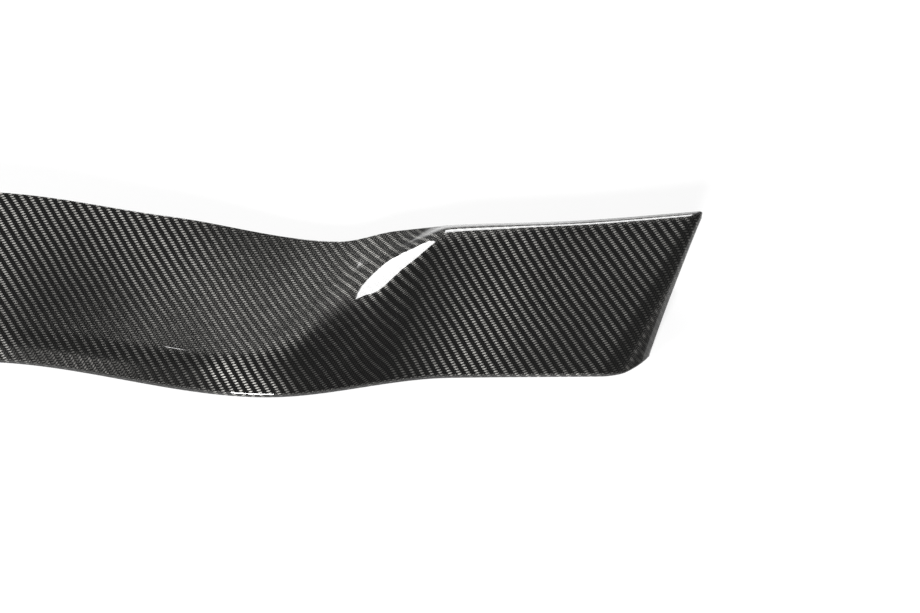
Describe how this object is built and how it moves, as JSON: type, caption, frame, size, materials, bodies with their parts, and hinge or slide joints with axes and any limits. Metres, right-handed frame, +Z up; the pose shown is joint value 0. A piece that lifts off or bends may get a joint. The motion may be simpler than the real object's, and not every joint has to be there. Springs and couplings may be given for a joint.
{
  "type": "car rear spoiler",
  "caption": "Boot-lid spoiler moulded as one glossy carbon-fibre shell, with a scooped centre, raised end panels and raked tips.",
  "frame": {"origin": "middle of the bounding box in plan, on the plane of the flange's underside", "axes": "+X across the car to one tip, +Y to the rear of the car, towards the trailing edge, +Z up from the lid"},
  "size_m": [1.1986, 0.1682, 0.072],
  "materials": {
    "carbon_laminate": "2x2 twill carbon fibre under a clear gloss coat"
  },
  "bodies": {
    "root": {"spoiler_shell": "carbon_laminate"}
  },
  "joints": []
}
